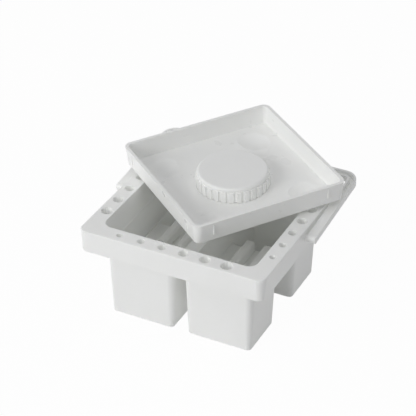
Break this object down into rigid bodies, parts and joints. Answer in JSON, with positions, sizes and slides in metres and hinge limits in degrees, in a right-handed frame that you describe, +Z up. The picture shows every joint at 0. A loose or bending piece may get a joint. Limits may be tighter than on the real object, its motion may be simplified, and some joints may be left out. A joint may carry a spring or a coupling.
{
  "type": "brush washer",
  "caption": "Square brush washer with sized brush holes in its rim, a swinging carry handle and a palette lid with a screw cap.",
  "frame": {"origin": "on the plane that the tub's four cups stand on, under the middle of the box that the whole part fills at rest, which is 23.7 mm behind the middle of the tub because the handle and the lid reach out at the back", "axes": "+Z up, X along the front of the tub with +X to the right, +Y towards the back, where the handle is folded"},
  "size_m": [0.1946, 0.2173, 0.1168],
  "materials": {
    "tub": "satin moulded white plastic",
    "carry_handle": "satin moulded white plastic",
    "palette_lid": "satin moulded white plastic",
    "screw_cap": "satin moulded white plastic",
    "cap_liner": "soft foam disc"
  },
  "bodies": {
    "tub": {"tub": "tub"},
    "handle": {"carry_handle": "carry_handle"},
    "lid": {"palette_lid": "palette_lid"},
    "liner": {"cap_liner": "cap_liner"},
    "cap": {"screw_cap": "screw_cap"}
  },
  "joints": [
    {"name": "handle_swing", "type": "hinge", "parent": "tub", "child": "handle", "pos_m": [0, -0.02367, 0.082], "axis": [1, 0, 0], "range_deg": [0, 169.8]},
    {"name": "lid_lift", "type": "slide", "parent": "tub", "child": "lid", "axis": [0, 0, 1], "range_m": [0, 0.3]},
    {"name": "cap_rise", "type": "slide", "parent": "lid", "child": "liner", "axis": [0, -0.0436, 0.999], "range_m": [0, 0.012]},
    {"name": "cap_turn", "type": "hinge", "parent": "liner", "child": "cap", "pos_m": [0, 0.01236, 0.09213], "axis": [0, -0.0436, 0.999], "range_deg": [0, 1080]}
  ],
  "couplings": [
    {"joint": "lid_lift", "follows": "handle_swing", "m_per_rad": 0.1},
    {"joint": "cap_rise", "follows": "cap_turn", "m_per_rad": 0.00063662}
  ]
}
